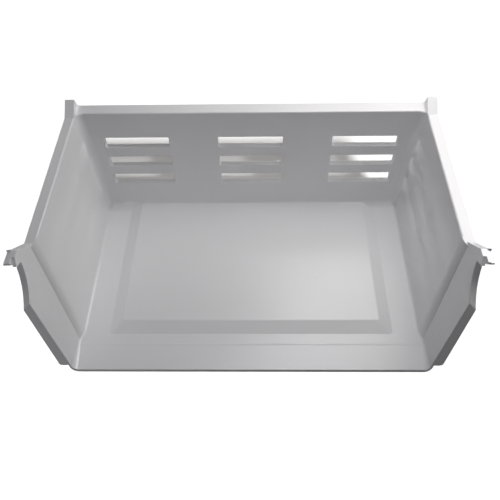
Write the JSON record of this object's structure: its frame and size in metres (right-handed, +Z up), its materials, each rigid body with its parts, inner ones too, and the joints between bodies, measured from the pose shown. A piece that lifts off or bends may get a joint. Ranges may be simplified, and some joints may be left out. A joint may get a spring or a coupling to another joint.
{
  "type": "freezer drawer tub",
  "caption": "Open-fronted plastic freezer drawer tub with slotted back wall, raised floor panel, side rails with stop teeth, and hooked front ears for a front panel.",
  "frame": {"origin": "centre of the bounding box at the base plane, on the runners' undersides", "axes": "+X to the right seen from the front, -Y towards the open front, +Z up"},
  "size_m": [0.4582, 0.278, 0.1878],
  "materials": {
    "tub_plastic": "satin, pale grey"
  },
  "bodies": {
    "root": {"drawer_tub": "tub_plastic"}
  },
  "joints": []
}
